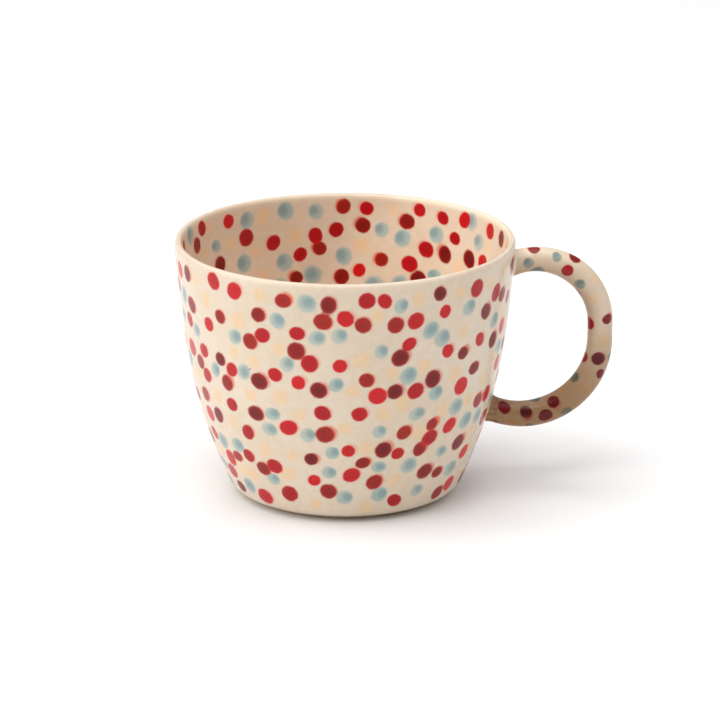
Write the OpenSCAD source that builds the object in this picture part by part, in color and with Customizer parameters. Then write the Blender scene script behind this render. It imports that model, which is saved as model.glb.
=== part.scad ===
// Stoneware mug: a wide cup that narrows to a small foot, with a round loop handle.
// The origin is the centre of the foot on the table, +Z is up and the handle points to +X.
// The cup and the handle are clay. The handle is joined to the cup with clay slip,
// and all of it but the foot ring is covered with a thin coat of glaze.

/* [Cup] */
// Outer radius of the cup at its lip
cup_r = 52; // [50:0.5:54]
// Height of the lip above the table
cup_h = 80; // [79:0.5:82]
// Height of the lip's rounded part
lip_h = 2.2; // [1.6:0.1:3]
// Thickness of the cup at its lip
lip_thick = 2.4; // [2:0.1:3]
// Thickness of the cup near its floor
wall_thick = 3.8; // [3.2:0.1:5]
// Height of the inside of the floor above the table
floor_z = 6.5; // [5:0.5:8]
// Radius of the rounded bottom corner
corner_r = 6; // [5:0.5:6.5]
// Thickness of the glaze
glaze = 0.3; // [0.2:0.05:0.5]

/* [Foot] */
// Outer radius of the foot ring
foot_r = 30.5; // [29:0.5:30.5]
// Width of the foot ring
foot_w = 3.5; // [2.5:0.5:5]
// Gap between the glazed base and the table
base_gap = 1; // [0.8:0.1:1.5]
// Height of the hollow inside the foot ring
hollow_z = 2; // [1.8:0.1:2.6]

/* [Handle] */
// Thickness of the glazed handle
handle_d = 8.4; // [7.4:0.2:9]
// How far the middle of the handle's side stands from the cup's axis
side_x = 78.8; // [77.6:0.2:80]
// Radius of the handle's upper bend
bend_top = 20.6; // [19.8:0.2:21.2]
// Height where the upper bend starts
top_z = 50.4; // [49.8:0.2:51]
// Radius of the handle's lower bend
bend_low = 23.8; // [23:0.2:24.6]
// Height where the lower bend starts
low_z = 45.2; // [44.4:0.2:46]
// Radius of the bead of slip round the handle's upper end
bead_top = 5.8; // [5.4:0.1:6.4]
// Radius of the bead of slip round the handle's lower end
bead_low = 6.8; // [6:0.1:7.4]

/* [Hidden] */
$fn = 128;
clay_color = [0.80, 0.72, 0.62];
slip_color = [0.72, 0.62, 0.50];
glaze_color = [0.93, 0.88, 0.79];
steps = 20;
corner_steps = 8;
lip_steps = 5;
foot_in = foot_r - foot_w;
// the corner's centre, and the lean of the wall where it leaves the corner and meets the lip
corner_x = 30.84;
corner_z = base_gap + corner_r;
lean_low = 23.15;
lean_top = 5;
lip_z = cup_h - lip_h;
lip_x = cup_r - lip_thick / 2;
w0 = [corner_x + corner_r * cos(lean_low), corner_z - corner_r * sin(lean_low)];
w3 = [cup_r, lip_z];
w1 = w0 + 27.5 * [sin(lean_low), cos(lean_low)];
w2 = w3 - 36 * [sin(lean_top), cos(lean_top)];
// the share of the wall below the start of the inside
t_in = 0.10;

// A point on the wall's curve, its direction, and the same point moved outward by off.
function curve(t) = pow(1 - t, 3) * w0 + 3 * t * pow(1 - t, 2) * w1
                  + 3 * t * t * (1 - t) * w2 + pow(t, 3) * w3;
function slope(t) = 3 * pow(1 - t, 2) * (w1 - w0) + 6 * t * (1 - t) * (w2 - w1)
                  + 3 * t * t * (w3 - w2);
function wall(t, off) = curve(t) + off * [slope(t)[1], -slope(t)[0]] / norm(slope(t));
function thick(t) = wall_thick + (lip_thick - wall_thick) * t;

// Outside from the bottom corner to the top of the lip, moved inward by g.
function outside(g) = concat(
    [for (i = [0:corner_steps]) let (a = -90 + i * (90 - lean_low) / corner_steps)
        [corner_x + (corner_r - g) * cos(a), corner_z + (corner_r - g) * sin(a)]],
    [for (i = [1:steps]) wall(i / steps, -g)],
    [for (i = [1:lip_steps]) let (a = i * 90 / lip_steps)
        [lip_x + (lip_thick / 2 - g) * cos(a), lip_z + (lip_h - g) * sin(a)]]);

// The inside's bottom corner rounds from the floor to the wall with this radius and centre.
in_t = wall(t_in, -thick(t_in));
in_lean = atan2(slope(t_in)[0], slope(t_in)[1]);
in_r = (in_t[1] - floor_z) / (1 - sin(in_lean));
in_x = in_t[0] - in_r * cos(in_lean);

// Inside from the top of the lip down to the floor's edge, moved into the clay by g.
function inside(g) = concat(
    [for (i = [1:lip_steps]) let (a = 90 + i * 90 / lip_steps)
        [lip_x + (lip_thick / 2 - g) * cos(a), lip_z + (lip_h - g) * sin(a)]],
    [for (i = [1:steps]) let (t = 1 - i * (1 - t_in) / steps) wall(t, g - thick(t))],
    [for (i = [1:corner_steps]) let (a = -in_lean - i * (90 - in_lean) / corner_steps)
        [in_x + (in_r + g) * cos(a), floor_z + in_r + (in_r + g) * sin(a)]]);

function back(list) = [for (i = [len(list) - 1:-1:0]) list[i]];

// The handle's two bends turn about these points, and reach this many degrees, into the cup.
mid_top = [side_x - bend_top, top_z];
mid_low = [side_x - bend_low, low_z];
reach_top = 122;
reach_low = 128;

// One bend of the handle.
module bend(mid, r, from, turn, bar_r) {
    translate([mid[0], 0, mid[1]])
        rotate([90, 0, 0])
            rotate_extrude(angle = turn, start = from)
                translate([r, 0])
                    circle(r = bar_r);
}

// The handle as one round bar that reaches into the cup at both ends.
module bar(bar_r) {
    bend(mid_top, bend_top, 0, reach_top, bar_r);
    translate([side_x, 0, low_z])
        cylinder(r = bar_r, h = top_z - low_z);
    bend(mid_low, bend_low, -reach_low, reach_low, bar_r);
}

// A bead round one end of the handle, centred on the bar at x.
module upper_bead() {
    x = cup_r - 3;
    translate([x, 0, top_z + sqrt(pow(bend_top, 2) - pow(mid_top[0] - x, 2))])
        sphere(r = bead_top);
}

module lower_bead() {
    x = cup_r - 11;
    translate([x, 0, low_z - sqrt(pow(bend_low, 2) - pow(mid_low[0] - x, 2))])
        sphere(r = bead_low);
}

// The whole cup as a solid, moved inward by g: what the handle is trimmed against.
module cup_solid(g) {
    rotate_extrude()
        polygon(concat([[0, base_gap + g]], outside(g), [[0, cup_h - g]]));
}

module cup_body() {
    color(clay_color)
        rotate_extrude()
            polygon(concat(
                [[0, hollow_z + glaze], [foot_in, hollow_z + glaze], [foot_in, base_gap + glaze]],
                outside(glaze), inside(glaze), [[0, floor_z - glaze]]));
}

module foot_ring() {
    color(slip_color)
        rotate_extrude()
            polygon([
                [foot_in, base_gap + glaze], [foot_in, 0.5], [foot_in + 0.15, 0.15], [foot_in + 0.5, 0],
                [foot_r - 0.5, 0], [foot_r - 0.15, 0.15], [foot_r, 0.5], [foot_r, base_gap + glaze]]);
}

module handle() {
    color(clay_color)
        difference() {
            bar(handle_d / 2 - glaze);
            cup_solid(glaze);
        }
}

module upper_joint() {
    color(slip_color)
        difference() {
            upper_bead();
            bar(handle_d / 2 - glaze);
            cup_solid(glaze);
        }
}

module lower_joint() {
    color(slip_color)
        difference() {
            lower_bead();
            bar(handle_d / 2 - glaze);
            cup_solid(glaze);
        }
}

module outer_glaze() {
    color(glaze_color)
        difference() {
            rotate_extrude()
                polygon(concat(
                    [[foot_r, base_gap + glaze], [foot_r, base_gap]],
                    outside(0), back(outside(glaze))));
            upper_bead();
            lower_bead();
        }
}

module inner_glaze() {
    color(glaze_color)
        rotate_extrude()
            polygon(concat(
                [[lip_x, cup_h - glaze], [lip_x, cup_h]],
                inside(0), [[0, floor_z], [0, floor_z - glaze]], back(inside(glaze))));
}

module handle_glaze() {
    color(glaze_color)
        difference() {
            bar(handle_d / 2);
            bar(handle_d / 2 - glaze);
            cup_solid(0);
            upper_bead();
            lower_bead();
        }
}

module base_glaze() {
    color(glaze_color)
        translate([0, 0, hollow_z])
            cylinder(r = foot_in, h = glaze);
}

cup_body();
foot_ring();
handle();
upper_joint();
lower_joint();
outer_glaze();
inner_glaze();
handle_glaze();
base_glaze();
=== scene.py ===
# %% [markdown]
# # A spotted stoneware mug
# The mug is a thrown or moulded clay cup with a round bar of clay for its handle. The handle is
# stuck on with clay slip, spots of colour are dabbed on the raw clay, and a clear glaze goes over
# everything but the ring that it stands on. Each of those pieces is made here as its own mesh.
# The frame is the finished part: +Z is up, the cup's axis is x = y = 0 and the handle points to +X.

# %% Load the part that these looks go around
import math

import bpy
import numpy as np
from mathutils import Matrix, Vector


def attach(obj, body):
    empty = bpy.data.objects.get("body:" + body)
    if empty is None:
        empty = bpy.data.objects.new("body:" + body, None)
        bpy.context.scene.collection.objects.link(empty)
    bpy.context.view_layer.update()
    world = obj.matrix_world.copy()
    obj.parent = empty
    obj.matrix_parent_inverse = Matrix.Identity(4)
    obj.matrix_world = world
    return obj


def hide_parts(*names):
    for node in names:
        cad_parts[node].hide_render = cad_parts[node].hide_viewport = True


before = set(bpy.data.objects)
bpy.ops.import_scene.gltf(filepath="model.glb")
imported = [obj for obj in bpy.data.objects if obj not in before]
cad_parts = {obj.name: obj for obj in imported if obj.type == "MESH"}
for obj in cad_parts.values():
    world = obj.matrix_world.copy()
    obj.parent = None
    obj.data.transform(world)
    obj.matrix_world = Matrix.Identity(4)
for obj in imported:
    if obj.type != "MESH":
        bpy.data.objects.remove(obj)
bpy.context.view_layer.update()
mm = 0.001

# %% [markdown]
# ## The camera
# The mug is seen from a little above and from far away with a long lens, so its upright lines stay
# almost parallel. The camera looks down 17.6 degrees at a point just right of the axis. The
# handle is turned 6 degrees away from the viewer, so that the cup hides its joints.

# %% Set the camera
view_down = math.radians(17.6)
view_turn = math.radians(6)
view_far = 1.3
look_right, look_up = 4.5 * mm, 40.55 * mm
look_at = Vector((look_right * math.cos(view_turn), -look_right * math.sin(view_turn), look_up))
lens = bpy.data.cameras.new("camera")
lens.lens = 212
lens.clip_end = 50
camera = bpy.data.objects.new("camera", lens)
level = view_far * math.cos(view_down)
camera.location = look_at + Vector(
    (-level * math.sin(view_turn), -level * math.cos(view_turn), view_far * math.sin(view_down)))
camera.rotation_euler = (math.pi / 2 - view_down, 0, -view_turn)
bpy.context.scene.collection.objects.link(camera)
bpy.context.scene.camera = camera
print("camera at", [round(v, 3) for v in camera.location])

# %% [markdown]
# ## The light
# A plain pale floor in a white studio. A soft lamp on the left makes the left wall brighter, leaves the
# inside of that wall in shade and gives the faint shadow on the right. A large ceiling light keeps the
# floor white and brightens the lip. Two weak lamps, in front and at the right and both high, open the
# shade, and one far behind the mug lights the floor there. A narrow spot lamp shines over the left
# lip into the cup.
# A lamp's size against its distance sets how soft its shadow is.

# %% Set the sky, the lamps and the floor
bpy.context.scene.view_settings.view_transform = "Standard"
sky = bpy.data.worlds.new("sky")
sky.use_nodes = True
sky.node_tree.nodes["Background"].inputs["Color"].default_value = (0.98, 0.99, 1.0, 1)
sky.node_tree.nodes["Background"].inputs["Strength"].default_value = 0.30
bpy.context.scene.world = sky


def lamp(name, place, aim, size, power, colour=(1, 1, 1)):
    """A square area lamp at place, turned so that its face looks at aim."""
    data = bpy.data.lights.new(name, "AREA")
    data.size, data.energy, data.color = size, power, colour
    thing = bpy.data.objects.new(name, data)
    thing.location = place
    thing.rotation_euler = (Vector(aim) - Vector(place)).to_track_quat("-Z", "Y").to_euler()
    bpy.context.scene.collection.objects.link(thing)
    return thing


middle_of_mug = (0, 0, 0.04)
lamp("window", (-1.15, -0.3, 0.98), middle_of_mug, 1.6, 14.0, (1.0, 0.995, 0.985))
lamp("ceiling", (-0.1, 0.1, 1.6), middle_of_mug, 1.7, 19.0)
lamp("front", (-0.1, -0.6, 1.45), middle_of_mug, 0.7, 2.6)
lamp("right", (0.95, -0.4, 1.2), middle_of_mug, 1.1, 3.5)
lamp("backdrop", (0, 3.0, 1.5), (0, 3.4, 0), 2.0, 22.0)
into_cup_power = 24.0
into_cup = lamp("into_cup", (-0.75, -0.4, 1.2), (0.012, 0.006, 0.07), 0.1, into_cup_power)
into_cup.data.type = "SPOT"
into_cup.data.spot_size, into_cup.data.spot_blend = math.radians(3.6), 0.4
into_cup.data.energy = into_cup_power

floor_material = bpy.data.materials.new("floor")
floor_material.use_nodes = True
floor_shader = floor_material.node_tree.nodes["Principled BSDF"]
floor_shader.inputs["Base Color"].default_value = (0.95, 0.95, 0.95, 1)
floor_shader.inputs["Roughness"].default_value = 0.6
floor_mesh = bpy.data.meshes.new("floor")
floor_mesh.from_pydata([(-4, -4, 0), (4, -4, 0), (4, 4, 0), (-4, 4, 0)], [], [(0, 1, 2, 3)])
floor_mesh.materials.append(floor_material)
floor = bpy.data.objects.new("floor", floor_mesh)
bpy.context.scene.collection.objects.link(floor)
print("sky, six lamps and the floor are set")

# %% [markdown]
# ## The cup's outline
# A thrown cup is one outline turned round its axis. The outline here is a small round corner above
# the foot, a long wall drawn with one Bezier curve, and half an oval for the lip. The glaze and the
# clay follow the same outline a third of a millimetre apart, so each is this outline moved inward.

# %% Draw the outline as arrays
cup_r, cup_h, lip_h, lip_thick = 52.0, 80.0, 2.2, 2.4
wall_thick, floor_z, corner_r, glaze = 3.8, 6.5, 6.0, 0.3
base_gap, hollow_z, foot_out, foot_in = 1.0, 2.0, 30.5, 27.0
lean_low, lean_top = math.radians(23.15), math.radians(5)
corner = np.array([30.84, base_gap + corner_r])
lip = np.array([cup_r - lip_thick / 2, cup_h - lip_h])
wall_foot = corner + corner_r * np.array([math.cos(lean_low), -math.sin(lean_low)])
wall_ends = np.array([wall_foot, [cup_r, lip[1]]])
pulls = np.array([wall_ends[0] + 27.5 * np.array([math.sin(lean_low), math.cos(lean_low)]),
                  wall_ends[1] - 36 * np.array([math.sin(lean_top), math.cos(lean_top)])])


def wall(t, inward):
    """The wall's points: a cubic Bezier at t from 0 to 1, each moved along its own normal by inward."""
    t = t[:, None]
    a, b, c, d = wall_ends[0], pulls[0], pulls[1], wall_ends[1]
    at = (1 - t) ** 3 * a + 3 * t * (1 - t) ** 2 * b + 3 * t * t * (1 - t) * c + t**3 * d
    run = (1 - t) ** 2 * (b - a) + 2 * t * (1 - t) * (c - b) + t * t * (d - c)
    run /= np.linalg.norm(run, axis=1)[:, None]
    return at - np.reshape(inward, (-1, 1)) * np.stack([run[:, 1], -run[:, 0]], 1)


def arc(centre, wide, high, start, end, count):
    """Points of an oval: centre plus wide times the cosine and high times the sine."""
    a = np.radians(np.linspace(start, end, count))
    return np.stack([centre[0] + wide * np.cos(a), centre[1] + high * np.sin(a)], 1)


def outside(g):
    """The outline from the foot's edge, round the corner and up to the top of the lip, g inside the glaze."""
    low = arc(corner, corner_r - g, corner_r - g, -90, -math.degrees(lean_low), 24)
    top = arc(lip, lip_thick / 2 - g, lip_h - g, 6, 90, 24)
    return np.concatenate([low, wall(np.linspace(0, 1, 200)[1:], g), top])


def inside(g):
    """The outline from the top of the lip down to the middle of the floor, g inside the clay."""
    t = np.linspace(1, 0.1, 200)
    deep = wall_thick + (lip_thick - wall_thick) * t
    side = wall(t, deep - g)
    free = wall(t, deep)
    run = free[-2] - free[-1]
    lean = math.atan2(run[0], run[1])
    radius = (free[-1][1] - floor_z) / (1 - math.sin(lean))
    centre = np.array([free[-1][0] - radius * math.cos(lean), floor_z + radius])
    low = arc(centre, radius + g, radius + g, -math.degrees(lean), -90, 40)
    top = arc(lip, lip_thick / 2 - g, lip_h - g, 90, 174, 24)
    return np.concatenate([top, side, low[1:], [[0, floor_z - g]]])


def even(points, step):
    """The same line with its points about step apart, measured along it."""
    gone = np.concatenate([[0], np.cumsum(np.linalg.norm(np.diff(points, axis=0), axis=1))])
    at = np.linspace(0, gone[-1], max(2, int(round(gone[-1] / step)) + 1))
    return np.stack([np.interp(at, gone, points[:, 0]), np.interp(at, gone, points[:, 1])], 1)


print("outside line", len(outside(0)), "points, inside line", len(inside(0)))

# %% [markdown]
# ## Turning an outline, and the marks of the hand
# A cup that came off a wheel is never quite round: its wall swells and its lip rises by a tenth of a
# millimetre or two. Waves of the angle do that. They only ever pull inward and down, so that the
# mug stays inside its measured size, and every layer uses the same waves, so that none shows through.

# %% Turn outlines into meshes
def worked(r, z, turn):
    """Points of a turned outline as x, y, z, with the hand's waves.

    Radius and lip height drop by sums of sines of the angle.
    """
    up = np.clip(z / cup_h, 0, 1)
    waves = np.sin(2 * turn + 0.7) + 0.8 * np.sin(3 * turn + 2.1 + 2.2 * up) + 0.6 * np.sin(5 * turn - 4 * up)
    swell = 0.07 * (waves - 2.4)
    drop = 0.08 * (np.sin(2 * turn + 2.4) + 0.7 * np.sin(3 * turn + 0.4) - 1.7) * up**6
    r = np.maximum(r + swell * np.clip(z / 12, 0, 1) * (r > 1), 0)
    return np.stack([r * np.cos(turn), r * np.sin(turn), z + drop], -1)


def put_mesh(name, points, faces):
    """A mesh from an array of points in millimetres and arrays of faces, shaded smooth."""
    mesh = bpy.data.meshes.new(name)
    mesh.from_pydata((points * mm).tolist(), [], [f for part in faces for f in part.tolist()])
    mesh.shade_smooth()
    mesh.update()
    return mesh


def turned(name, line, columns, shape=worked):
    """The outline carried round the axis.

    A line that starts and ends on the axis closes at its poles; any other line closes on itself.
    """
    poles = line[0][0] < 1e-6 and line[-1][0] < 1e-6
    body = line[1:-1] if poles else line
    turn = np.linspace(0, 2 * math.pi, columns, endpoint=False)
    r, turns = np.meshgrid(body[:, 0], turn, indexing="ij")
    z = np.repeat(body[:, 1:2], columns, 1)
    points = shape(r, z, turns).reshape(-1, 3)
    ids = np.arange(len(points)).reshape(len(body), columns)
    ids = np.concatenate([ids, ids[:, :1]], 1)
    if not poles:
        ids = np.concatenate([ids, ids[:1]], 0)
    quads = np.stack([ids[:-1, :-1], ids[:-1, 1:], ids[1:, 1:], ids[1:, :-1]], -1).reshape(-1, 4)
    if not poles:
        return put_mesh(name, points, [quads])
    first, last = len(points), len(points) + 1
    points = np.concatenate([points, [[0, 0, line[0][1]], [0, 0, line[-1][1]]]])
    low = np.stack([ids[0, 1:], ids[0, :-1], np.full(columns, first)], 1)
    high = np.stack([ids[-1, :-1], ids[-1, 1:], np.full(columns, last)], 1)
    return put_mesh(name, points, [quads, low, high])


def place(mesh, name, node, slot):
    """Puts a mesh in the scene as the piece that stands for one node of the part."""
    piece = bpy.data.objects.new(name, mesh)
    bpy.context.scene.collection.objects.link(piece)
    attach(piece, "root")
    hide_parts(*node)
    mesh.calc_loop_triangles()
    print(name, len(mesh.vertices), "points,", len(mesh.loop_triangles), "triangles")
    return piece


# %% [markdown]
# ## The cup, its foot and its coats of glaze
# The clay is hidden under the glaze, so a plain turned mesh does for it. The two big coats carry the
# spots, and a spot's edge is only as sharp as the mesh is fine, so they have a point every 0.8 mm.

# %% Make the clay cup
outer_clay, inner_clay = even(outside(glaze), 2), even(inside(glaze), 2)
under_clay = np.array([[0, hollow_z + glaze], [foot_in, hollow_z + glaze], [foot_in, base_gap + glaze]])
cup_mesh = turned("clay_cup", np.concatenate([under_clay, outer_clay, inner_clay[1:]]), 180)
clay_cup = place(cup_mesh, "clay_cup", ["cup_body"], "clay")

# %% Make the foot ring
edge = 0.5
ring_line = np.concatenate([
    [[foot_in, base_gap + glaze]],
    arc((foot_in + edge, edge), edge, edge, 180, 270, 7),
    arc((foot_out - edge, edge), edge, edge, 270, 360, 7),
    [[foot_out, base_gap + glaze]]])
foot_mesh = turned("foot_ring_bare", ring_line, 240)
foot_ring = place(foot_mesh, "foot_ring_bare", ["foot_ring"], "bare_clay")

# %% Make the coats of glaze
grain = 0.8
outer_skin = np.concatenate([[[foot_out, base_gap]], even(outside(0), grain)])
outer_back = np.concatenate([even(outside(glaze), 4)[::-1], [[foot_out, base_gap + glaze]]])
outer_mesh = turned("glaze_outside", np.concatenate([outer_skin, outer_back]), 400)
glaze_outside = place(outer_mesh, "glaze_outside", ["outer_glaze"], "glaze")

inner_skin = even(inside(0), grain)
inner_back = even(inside(glaze), 4)[::-1]
inner_mesh = turned("glaze_inside", np.concatenate([inner_back, inner_skin]), 360)
glaze_inside = place(inner_mesh, "glaze_inside", ["inner_glaze"], "glaze")

base_top = hollow_z + glaze
base_line = np.array([
    [0, hollow_z], [9, hollow_z], [18, hollow_z], [foot_in, hollow_z], [foot_in, base_top], [0, base_top]])
base_mesh = turned("glaze_under_base", base_line, 96)
glaze_base = place(base_mesh, "glaze_under_base", ["base_glaze"], "glaze")

# %% [markdown]
# ## The handle
# The handle was rolled as a round bar, bent, and pressed on while soft. Its middle line is an upper
# bend, a short straight side and a wider lower bend. Each point of the bar's skin is that line plus a
# circle across it. The bar's ends follow the wall: along each of the lines that run down its length,
# it stops a millimetre under the cup's surface, so it fits the curve of the cup all round.

# %% Lay out the middle line
side_x, bend_top, top_z, bend_low, low_z = 78.8, 20.6, 50.4, 23.8, 45.2
upper = arc((side_x - bend_top, top_z), bend_top, bend_top, 122, 0, 160)
lower = arc((side_x - bend_low, low_z), bend_low, bend_low, 0, -128, 200)
middle = even(np.concatenate([upper, lower]), 0.25)
along = np.concatenate([[0], np.cumsum(np.linalg.norm(np.diff(middle, axis=0), axis=1))])
heading = np.gradient(middle, along, axis=0)
heading /= np.linalg.norm(heading, axis=1)[:, None]
length = along[-1]
print("handle's middle line is", round(float(length), 1), "mm long")


def bar_radius(s):
    """The bar's radius: thinnest at its ends, fullest in the lower bend, with a slow wave from the hand."""
    knots, radii = [0, 10, 23, 46, 60, 80, 92, length], [3.78, 3.78, 4.05, 3.9, 4.1, 4.2, 3.95, 3.85]
    return np.interp(s, knots, radii) - 0.03 * (1 - np.cos(s / 5.3))


def bar_point(s, round_it, out=0.0):
    """A point of the bar's skin, s along it and round_it about it, moved off the skin by out."""
    x, z = np.interp(s, along, middle[:, 0]), np.interp(s, along, middle[:, 1])
    hx, hz = np.interp(s, along, heading[:, 0]), np.interp(s, along, heading[:, 1])
    r = bar_radius(s) + out
    across = r * np.cos(round_it)
    return np.stack([x - hz * across, r * np.sin(round_it), z + hx * across], -1)


wall_line = outside(0)


def off_wall(points):
    """How far points stand out from the cup's outside, measured level."""
    points = points.copy()
    angle = np.arctan2(points[..., 1], points[..., 0])
    r = np.interp(points[..., 2], wall_line[23:, 1], wall_line[23:, 0])
    skin = worked(r, points[..., 2], angle)
    return np.hypot(points[..., 0], points[..., 1]) - np.hypot(skin[..., 0], skin[..., 1])


def reach(round_it, deep, out, low_end):
    """Where each lengthwise line of the bar comes to deep millimetres under the wall, at one end."""
    s = np.linspace(0, 30, 601)
    s = length - s if low_end else s
    grid_s, grid_u = np.meshgrid(s, round_it, indexing="ij")
    high = off_wall(bar_point(grid_s, grid_u, out)) + deep
    first = np.argmax(high > 0, axis=0)
    first = np.maximum(first, 1)
    column = np.arange(len(round_it))
    a, b = high[first - 1, column], high[first, column]
    return s[first - 1] + (s[first] - s[first - 1]) * (-a) / (b - a)


# %% Make the handle
round_bar = np.linspace(0, 2 * math.pi, 64, endpoint=False)
start = reach(round_bar, 1.0, 0.0, False)
stop = reach(round_bar, 1.0, 0.0, True)
rows = 200
share = np.linspace(0, 1, rows)[:, None]
bar_s = start + share * (stop - start)
bar_u = np.repeat(round_bar[None], rows, 0)
bar_xyz = bar_point(bar_s, bar_u)


def tube_mesh(name, grid, caps):
    """A grid of points, closed round its second direction.

    Its ends close with a middle point each, or else the first end joins the last.
    """
    rows, columns = grid.shape[:2]
    points = grid.reshape(-1, 3)
    ids = np.arange(len(points)).reshape(rows, columns)
    ids = np.concatenate([ids, ids[:, :1]], 1)
    if not caps:
        ids = np.concatenate([ids, ids[:1]], 0)
    quads = np.stack([ids[:-1, :-1], ids[:-1, 1:], ids[1:, 1:], ids[1:, :-1]], -1).reshape(-1, 4)
    if not caps:
        return put_mesh(name, points, [quads])
    first, last = len(points), len(points) + 1
    points = np.concatenate([points, grid[0].mean(0)[None], grid[-1].mean(0)[None]])
    low = np.stack([ids[0, 1:], ids[0, :-1], np.full(columns, first)], 1)
    high = np.stack([ids[-1, :-1], ids[-1, 1:], np.full(columns, last)], 1)
    return put_mesh(name, points, [quads, low, high])


handle_mesh = tube_mesh("handle_bar", bar_xyz, True)
handle_bar = place(handle_mesh, "handle_bar", ["handle", "handle_glaze"], "glaze")

# %% [markdown]
# ## The slip round the joints
# Slip is liquid clay. It squeezes out where the handle is pressed on and is wiped round with a
# finger, which leaves a hollow curve from the cup to the bar. Each bead is a ring whose cross-section
# starts on the wall, sweeps down to the bar and comes back underneath.

# %% Make the two beads of slip
def bead(name, node, tall, long, low_end):
    """A ring round the bar: its height falls with the square of the way along.

    Its back lies just inside the bar.
    """
    sign = -1 if low_end else 1
    foot_line = reach(round_bar, 0.0, tall, low_end)
    bar_line = reach(round_bar, 0.0, 0.0, low_end)
    v = np.linspace(0, 1, 12)[:, None]
    front_s = foot_line * (1 - v) + (bar_line + sign * long) * v
    front_h = np.repeat(tall * (1 - v) ** 2 + 0.02, len(round_bar), 1)
    back_s = np.stack([bar_line + sign * long, bar_line, foot_line - sign * 0.6, foot_line - sign * 0.6])
    back_h = np.stack([np.full(len(round_bar), -0.25)] * 3 + [np.full(len(round_bar), tall)])
    s, h = np.concatenate([front_s, back_s]), np.concatenate([front_h, back_h])
    u = np.repeat(round_bar[None], len(s), 0)
    grid = bar_point(s, u, h)
    return place(tube_mesh(name, grid if not low_end else grid[::-1], False), name, [node], "slip")


slip_upper = bead("slip_upper", "upper_joint", 0.45, 1.2, False)
slip_lower = bead("slip_lower", "lower_joint", 1.0, 3.4, True)

# %% [markdown]
# ## Where the spots go
# The painter dabs spots by eye: seven or eight millimetres apart, never on a grid, a few touching.
# They start in a loose row a little under the lip. Each new spot here is the best of many thrown at
# random, the one that is furthest from the spots already there. That fills the clay evenly without
# making rows. Neighbours seldom share a colour, because the painter looks at what is already there.

# %% Spread points evenly by chance
hand = np.random.default_rng(21)
spots_per_square_mm = 0.0204


def spread(row, throw, count, tries=80):
    """Adds points to the row until there are count.

    Each is the thrown point whose nearest neighbour is furthest away.
    """
    kept = list(row)
    at = [throw(*p) for p in kept]
    while len(kept) < count:
        some = throw.fresh(tries)
        places = throw(*some.T)
        nearest = np.min(np.sum((places[:, None] - np.array(at)[None]) ** 2, axis=2), axis=1)
        best = int(np.argmax(nearest))
        kept.append(some[best])
        at.append(places[best])
    return np.array(kept)


class OnCup:
    """Points of a turned outline, given by the turn and the millimetres along it.

    Spots stop short of its end.
    """

    def __init__(self, line, row_at, short):
        self.line, self.row_at = line, row_at
        self.gone = np.concatenate([[0], np.cumsum(np.linalg.norm(np.diff(line, axis=0), axis=1))])
        self.first, self.last = 1.0, float(self.gone[-1]) - short
        rings = 2 * math.pi * (line[1:, 0] + line[:-1, 0]) / 2 * np.diff(self.gone)
        rings *= (self.gone[1:] > row_at) & (self.gone[1:] < self.last)
        self.area = float(np.sum(rings))
        self.share = np.concatenate([[0], np.cumsum(rings)]) / self.area

    def __call__(self, turn, s):
        r, z = np.interp(s, self.gone, self.line[:, 0]), np.interp(s, self.gone, self.line[:, 1])
        return worked(r, z, np.asarray(turn))

    def fresh(self, count):
        turn = hand.uniform(0, 2 * math.pi, count)
        return np.stack([turn, np.interp(hand.uniform(0, 1, count), self.share, self.gone)], 1)

    def first_row(self, count):
        turn = 2 * math.pi * (np.arange(count) + hand.uniform(-0.28, 0.28, count)) / count
        return np.stack([turn, self.row_at + hand.uniform(-0.7, 1.0, count)], 1)


class OnBar:
    """Points of the handle's skin, given by the turn about the bar and the millimetres along it.

    Its spots are smaller and closer.
    """

    first, last = float(start.min()) + 1, float(stop.max()) - 1
    area = 2 * math.pi * 4 * (last - first) * 1.25

    def __call__(self, turn, s):
        return bar_point(np.asarray(s), np.asarray(turn))

    def fresh(self, count):
        return np.stack([hand.uniform(0, 2 * math.pi, count), hand.uniform(self.first, self.last, count)], 1)


# %% Deal out colours, sizes and second dabs
colours = ["red", "maroon", "blue", "peach"]
shares = np.array([0.25, 0.23, 0.28, 0.24])
near_ring, close_ring = 10.5, 7.2
cup_spot_radius, bar_spot_radius = 2.7, 1.97


def dealt(skin, spots, size):
    """Gives each spot a colour unlike its neighbours', a size and a lean.

    Its second dab lies a little off the first.
    """
    n = len(spots)
    turn, s = (spots + np.stack([hand.normal(0, 0.006, n), hand.normal(0, 0.35, n)], 1)).T
    s = np.clip(s, skin.first, skin.last)
    at = skin(turn, s)
    down, level = skin(turn, s + 0.2) - skin(turn, s - 0.2), skin(turn + 0.02, s) - at
    down /= np.linalg.norm(down, axis=1)[:, None]
    level /= np.linalg.norm(level, axis=1)[:, None]
    gaps = np.linalg.norm(at[:, None] - at[None], axis=2)
    colour = np.full(n, -1)
    for i in hand.permutation(n):
        near, close = (colour[(gaps[i] < ring) & (colour >= 0)] for ring in (near_ring, close_ring))
        odds = shares * 0.35 ** np.bincount(near, minlength=4) * 0.08 ** np.bincount(close, minlength=4)
        colour[i] = hand.choice(4, p=odds / odds.sum())
    radius = size * hand.uniform(0.82, 1.15, n)
    oval = hand.uniform(0.0, 0.09, n)
    lean = hand.uniform(0, math.pi, n)
    one = np.cos(lean)[:, None] * level + np.sin(lean)[:, None] * down
    two = -np.sin(lean)[:, None] * level + np.cos(lean)[:, None] * down
    slip = hand.uniform(0.35, 1.4, n)[:, None] * (0.8 * level - 0.4 * down)
    slip = slip + 0.25 * hand.uniform(-1, 1, (n, 1)) * down
    return {"at": at, "one": one, "two": two, "wide": radius * (1 + oval), "high": radius * (1 - oval),
            "second": at + slip, "colour": colour, "tone": hand.uniform(0, 1, n)}


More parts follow.
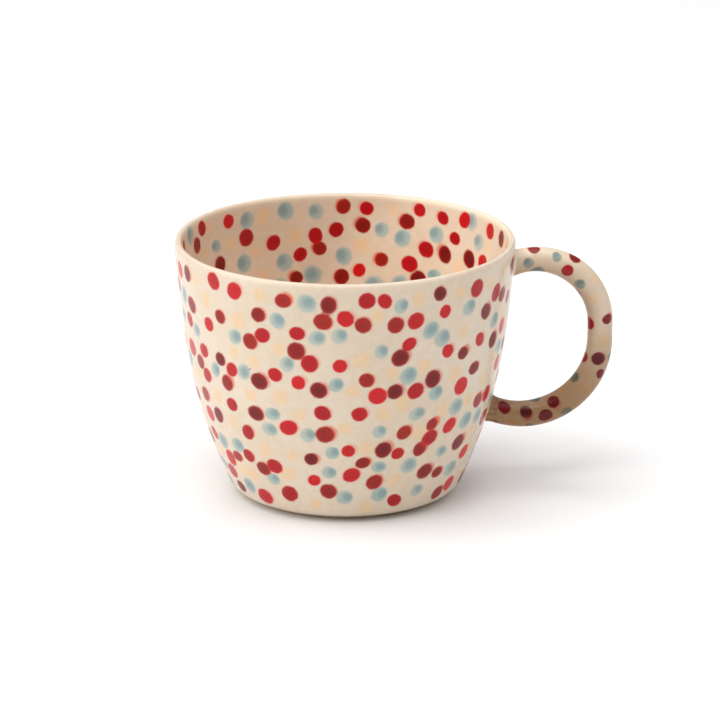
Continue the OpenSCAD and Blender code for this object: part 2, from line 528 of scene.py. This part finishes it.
def painted_spots(skin, row, size):
    """A whole skin of spots: a row first, then the rest by the area of the skin."""
    count = len(row) + int(skin.area * spots_per_square_mm)
    return dealt(skin, spread(row, skin, count), size)


on_outside = OnCup(even(outside(0), 1)[::-1], 6.0, 7.0)
on_inside = OnCup(even(inside(0), 1), 5.0, 1.0)
on_bar = OnBar()
outer_spots = painted_spots(on_outside, on_outside.first_row(40), cup_spot_radius)
inner_spots = painted_spots(on_inside, on_inside.first_row(38), cup_spot_radius)
bar_spots = painted_spots(on_bar, on_bar.fresh(1), bar_spot_radius)
for place_name, spots in (("outside", outer_spots), ("inside", inner_spots), ("handle", bar_spots)):
    assert np.isfinite(spots["one"]).all() and np.isfinite(spots["two"]).all()
    print(place_name, dict(zip(colours, np.bincount(spots["colour"], minlength=4).tolist())))
print("spots:", [len(spots["at"]) for spots in (outer_spots, inner_spots, bar_spots)])

# %% [markdown]
# ## Painting by distance
# Each point of a coat stores how far it is from the nearest dab of each colour, counted in radii of
# that dab: 0 at its middle, 1 at its edge. The material turns those numbers into paint, so that one
# number gives both a crisp red edge and a soft blue one.

# %% Store the distances on the meshes
def dab_distance(points, spots, which, centre, grow):
    """Distance to the nearest dab in dab radii, and that dab's tone.

    The oval distance to every dab is found at once, and the least is kept.
    """
    pick = spots["colour"] == which
    c = spots[centre][pick].astype(np.float32)
    one, two = spots["one"][pick].astype(np.float32), spots["two"][pick].astype(np.float32)
    off = points[:, None, :] - c[None]
    a = np.einsum("pdk,dk->pd", off, one) / (grow * spots["wide"][pick]).astype(np.float32)
    b = np.einsum("pdk,dk->pd", off, two) / (grow * spots["high"][pick]).astype(np.float32)
    n = np.einsum("pdk,dk->pd", off, np.cross(one, two)) / np.float32(5)
    q = np.sqrt(a * a + b * b + n * n)
    nearest = np.argmin(q, axis=1)
    return np.minimum(q[np.arange(len(q)), nearest], 4), spots["tone"][pick][nearest]


def paint(piece, spots):
    """Writes one distance for each kind of dab, and the tone of the nearest spot, on every point."""
    mesh = piece.data
    points = np.empty(len(mesh.vertices) * 3, np.float32)
    mesh.vertices.foreach_get("co", points)
    points = points.reshape(-1, 3) / np.float32(mm)
    tone, near = np.zeros(len(points)), np.full(len(points), 9.0)
    for which, colour in enumerate(colours):
        for layer, centre, grow in (("", "at", 1.0), ("_second", "second", 0.98)):
            q, t = dab_distance(points, spots, which, centre, grow)
            number = mesh.attributes.new(colour + layer, "FLOAT", "POINT")
            number.data.foreach_set("value", q.astype(np.float32))
            tone, near = np.where(q < near, t, tone), np.minimum(q, near)
    mesh.attributes.new("tone", "FLOAT", "POINT").data.foreach_set("value", tone.astype(np.float32))
    print(piece.name, "painted;", round(100 * float(np.mean(near < 1))), "% under paint")


for piece, spots in ((glaze_outside, outer_spots), (glaze_inside, inner_spots), (handle_bar, bar_spots)):
    paint(piece, spots)


def handle_shade():
    """How much painted shade each point of the bar gets, where the cup shades it.

    It is most on the side that faces the cup, and more so near the upper joint.
    """
    facing_cup = (1 - np.cos(bar_u)) / 2
    shade_amount = 0.62 * facing_cup**1.6 + 0.55 * np.exp(-(bar_s - start) / 6) * facing_cup
    return np.concatenate([np.clip(shade_amount, 0, 1).ravel(), [0, 0]]).astype(np.float32)


# The handle's painted shade, where the cup and the upper bar shade it, is stored on its points.
handle_mesh.attributes.new("handle_shade", "FLOAT", "POINT").data.foreach_set("value", handle_shade())
print("glaze pools on", round(100 * float(np.mean(handle_shade() > 0.3))), "% of the handle")

# %% [markdown]
# ## Materials
# Stoneware's clear glaze is a smooth, shiny skin over matt clay. The clay's colour drifts a little,
# has a few iron specks, and the skin has the faint ripple of a glaze that ran before it set.

# %% Small helpers for node materials
def new_material(name):
    """A material with its node tree, its shader and its object coordinates."""
    material = bpy.data.materials.new(name)
    material.use_nodes = True
    tree = material.node_tree
    shader = tree.nodes["Principled BSDF"]
    return material, tree, shader, tree.nodes.new("ShaderNodeTexCoord").outputs["Object"]


def feed(tree, socket, value):
    """Links a socket to another node's output, or sets its plain value."""
    if isinstance(value, bpy.types.NodeSocket):
        tree.links.new(value, socket)
    else:
        socket.default_value = value


def noise(tree, where, scale, detail=3.0):
    """A cloudy number from 0 to 1 that changes over about 1 / scale metres."""
    node = tree.nodes.new("ShaderNodeTexNoise")
    tree.links.new(where, node.inputs["Vector"])
    node.inputs["Scale"].default_value = scale
    node.inputs["Detail"].default_value = detail
    return node.outputs["Fac"]


def sums(tree, kind, a, b, c=0.0):
    """One sum of numbers, such as ADD, MULTIPLY or MULTIPLY_ADD."""
    node = tree.nodes.new("ShaderNodeMath")
    node.operation = kind
    for socket, value in zip(node.inputs, (a, b, c)):
        feed(tree, socket, value)
    return node.outputs[0]


def ramp(tree, value, low, high, to_low=0.0, to_high=1.0):
    """Maps a number from low..high to to_low..to_high with soft ends."""
    node = tree.nodes.new("ShaderNodeMapRange")
    node.interpolation_type = "SMOOTHSTEP"
    ends = {"Value": value, "From Min": low, "From Max": high, "To Min": to_low, "To Max": to_high}
    for name, v in ends.items():
        feed(tree, node.inputs[name], v)
    return node.outputs["Result"]


def blend_colour(tree, amount, under, over, kind="MIX"):
    """One colour laid over another by amount."""
    node = tree.nodes.new("ShaderNodeMix")
    node.data_type, node.blend_type = "RGBA", kind
    for name, v in (("Factor_Float", amount), ("A_Color", under), ("B_Color", over)):
        feed(tree, next(i for i in node.inputs if i.identifier == name), v)
    return next(o for o in node.outputs if o.identifier == "Result_Color")


def stored(tree, name):
    """A number stored on the mesh's points."""
    node = tree.nodes.new("ShaderNodeAttribute")
    node.attribute_name = name
    return node.outputs["Fac"]


def bump(tree, shader, height, depth, strength=1.0):
    """Makes a height into a bump that is depth metres deep."""
    node = tree.nodes.new("ShaderNodeBump")
    node.inputs["Distance"].default_value = depth
    node.inputs["Strength"].default_value = strength
    tree.links.new(height, node.inputs["Height"])
    tree.links.new(node.outputs["Normal"], shader.inputs["Normal"])


def rgb(r, g, b):
    """A colour as it looks on a screen, from 0 to 255, turned into light."""
    c = np.array([r, g, b]) / 255
    return (*np.where(c <= 0.04045, c / 12.92, ((c + 0.055) / 1.055) ** 2.4), 1.0)


# %% [markdown]
# The cream under the spots drifts between two close tones. Specks come from a cell pattern: each
# cell has a random middle, and only the rare cell whose noise is high gets a speck.

# %% The clay and glaze colours
def cream(tree, where, bounce_warmth=0.0):
    """Cream clay seen through clear glaze, with soft clouds and a few dark specks.

    Bounce warmth tints it towards warm tan: painted warm bounce light, as in the shade inside the cup and on
    the handle and slip.
    """
    clouds = ramp(tree, noise(tree, where, 28.0, 4.0), 0.3, 0.7)
    base = blend_colour(tree, clouds, rgb(228, 211, 190), rgb(222, 202, 178))
    fine = ramp(tree, noise(tree, where, 420.0, 2.0), 0.35, 0.75, 0.0, 0.35)
    base = blend_colour(tree, fine, base, rgb(234, 219, 200))
    # Painted warm bounce light.
    base = blend_colour(tree, bounce_warmth, base, rgb(222, 184, 136))
    cells = tree.nodes.new("ShaderNodeTexVoronoi")
    cells.inputs["Scale"].default_value = 95.0
    tree.links.new(where, cells.inputs["Vector"])
    close = ramp(tree, cells.outputs["Distance"], 0.018, 0.035, 1.0, 0.0)
    lot = tree.nodes.new("ShaderNodeSeparateColor")
    tree.links.new(cells.outputs["Color"], lot.inputs["Color"])
    rare = ramp(tree, lot.outputs["Red"], 0.90, 0.92)
    return blend_colour(tree, sums(tree, "MULTIPLY", close, rare), base, rgb(96, 70, 52))


def glossy(tree, shader, where):
    """A clear glaze: a smooth coat over a satin body, both slightly uneven."""
    feed(tree, shader.inputs["Roughness"], ramp(tree, noise(tree, where, 60.0, 3.0), 0.3, 0.7, 0.24, 0.34))
    shader.inputs["IOR"].default_value = 1.32
    shader.inputs["Coat Weight"].default_value = 0.14
    shader.inputs["Coat Roughness"].default_value = 0.08
    ripple = sums(tree, "MULTIPLY_ADD", noise(tree, where, 900.0, 2.0), 0.12, noise(tree, where, 150.0, 2.0))
    bump(tree, shader, ripple, 0.00012, 0.5)


plain_glaze, tree, shader, where = new_material("plain_glaze")
feed(tree, shader.inputs["Base Color"], cream(tree, where))
glossy(tree, shader, where)

# %% The spotted glaze
def dab(tree, name, rough_edge, sharp_in, sharp_out):
    """How much of a dab's paint covers a point.

    It is full inside sharp_in and none outside sharp_out, with an uneven edge.
    """
    q = sums(tree, "ADD", stored(tree, name), rough_edge)
    return ramp(tree, q, sharp_in, sharp_out, 1.0, 0.0)


def with_handle_shade(tree, where, colour):
    """Painted shade: browner low on the handle, and on the side of the bar that faces the cup."""
    height = tree.nodes.new("ShaderNodeSeparateXYZ")
    tree.links.new(where, height.inputs["Vector"])
    # Painted shade, darker towards the bottom of the handle.
    amount = ramp(tree, height.outputs["Z"], 0.022, 0.066, 0.97, 0.0)
    amount = sums(tree, "MAXIMUM", amount, stored(tree, "handle_shade"))
    return blend_colour(tree, amount, colour, rgb(176, 150, 120), "MULTIPLY")


def spotted(name, bounce_warmth, deep=1.0):
    """Spotted clay under clear glaze. Deep below 1 darkens the paint, as painted shade.

    Each layer of paint is laid over the last: peach, blue, maroon, then red.
    """
    material, tree, shader, where = new_material(name)
    rough_edge = sums(tree, "MULTIPLY_ADD", noise(tree, where, 700.0, 2.0), 0.16, -0.08)
    tone = stored(tree, "tone")

    # Deep darkens the paint as painted shade.
    def hue(r, g, b):
        return rgb(r * deep, g * deep, b * deep)

    def laid(under, amount, colour, share=1.0):
        return blend_colour(tree, sums(tree, "MULTIPLY", amount, share), under, colour)

    def paint_of(which, sharp_in, sharp_out):
        return dab(tree, which, rough_edge, sharp_in, sharp_out)

    paint = laid(cream(tree, where, bounce_warmth), paint_of("peach", 0.55, 1.2), rgb(240, 198, 144), 0.52)
    blue_wash = paint_of("blue", 0.76, 1.17)
    paint = laid(paint, blue_wash, hue(164, 184, 178), ramp(tree, tone, 0, 1, 0.72, 0.97))
    blue_heart = sums(tree, "MULTIPLY", paint_of("blue_second", 0.25, 0.95), blue_wash)
    paint = laid(paint, blue_heart, hue(114, 144, 150), 0.62)
    halo = blend_colour(tree, tone, rgb(228, 110, 66), rgb(206, 62, 44))
    paint = laid(paint, paint_of("maroon_second", 0.62, 1.16), halo, ramp(tree, tone, 0, 1, 0.95, 0.6))
    brown = blend_colour(tree, tone, hue(176, 32, 16), hue(136, 12, 12))
    paint = laid(paint, paint_of("maroon", 0.8, 1.07), brown)
    heart_share = ramp(tree, tone, 0.1, 0.9, 0.25, 0.85)
    paint = laid(paint, paint_of("maroon", 0.35, 0.98), hue(104, 4, 8), heart_share)
    paint = laid(paint, paint_of("red_second", 0.66, 1.08), rgb(230, 84, 62), 0.34)
    red = blend_colour(tree, tone, hue(210, 16, 24), hue(176, 4, 16))
    paint = laid(paint, paint_of("red", 0.82, 1.07), red)
    paint = laid(paint, paint_of("red", 0.3, 0.95), hue(158, 0, 12), ramp(tree, tone, 0.0, 0.9, 0.1, 0.6))
    # The handle gets painted shade: browner low down and on the side that faces the cup.
    if name == "spotted_handle_shaded":
        paint = with_handle_shade(tree, where, paint)
    feed(tree, shader.inputs["Base Color"], paint)
    glossy(tree, shader, where)
    return material


spotted_glaze = spotted("spotted_glaze", 0.0)
# The inside of the cup gets painted warm bounce light.
spotted_inside_bounce = spotted("spotted_inside_bounce", 0.14)
# The handle's paint is darkened to 0.84 as painted shade.
spotted_handle_shaded = spotted("spotted_handle_shaded", 0.12, 0.84)

# %% The bare clay, the clay under the glaze and the slip
bare_clay, tree, shader, where = new_material("bare_clay")
grit = noise(tree, where, 1400.0, 4.0)
warm_patches = ramp(tree, noise(tree, where, 90.0, 3.0), 0.3, 0.7)
warm = blend_colour(tree, warm_patches, rgb(214, 192, 160), rgb(190, 164, 130))
dark_grit = ramp(tree, grit, 0.5, 0.8, 0.0, 0.6)
feed(tree, shader.inputs["Base Color"], blend_colour(tree, dark_grit, warm, rgb(150, 122, 92)))
feed(tree, shader.inputs["Roughness"], ramp(tree, grit, 0.2, 0.8, 0.72, 0.92))
bump(tree, shader, grit, 0.00015, 0.7)

wiped_slip_painted_light, tree, shader, where = new_material("wiped_slip_painted_light")
# The brown streaks along the slip are a painted reflection of the cup in the glossy glaze. The slip also gets
# painted warm bounce light and the handle's painted shade.
streaks = tree.nodes.new("ShaderNodeMapping")
streaks.inputs["Scale"].default_value = (90, 900, 900)
tree.links.new(where, streaks.inputs["Vector"])
lines = ramp(tree, noise(tree, streaks.outputs["Vector"], 1.0, 2.0), 0.3, 0.75, 0.0, 0.6)
reflection_streaks = blend_colour(tree, lines, cream(tree, where, 0.3), rgb(168, 132, 92))
feed(tree, shader.inputs["Base Color"], with_handle_shade(tree, where, reflection_streaks))
glossy(tree, shader, where)

finishes = (
    (clay_cup, bare_clay), (foot_ring, bare_clay),
    (glaze_outside, spotted_glaze), (glaze_inside, spotted_inside_bounce), (glaze_base, plain_glaze),
    (handle_bar, spotted_handle_shaded), (slip_upper, plain_glaze), (slip_lower, wiped_slip_painted_light))
for piece, material in finishes:
    piece.data.materials.append(material)
print("materials:", [m.name for m in bpy.data.materials])
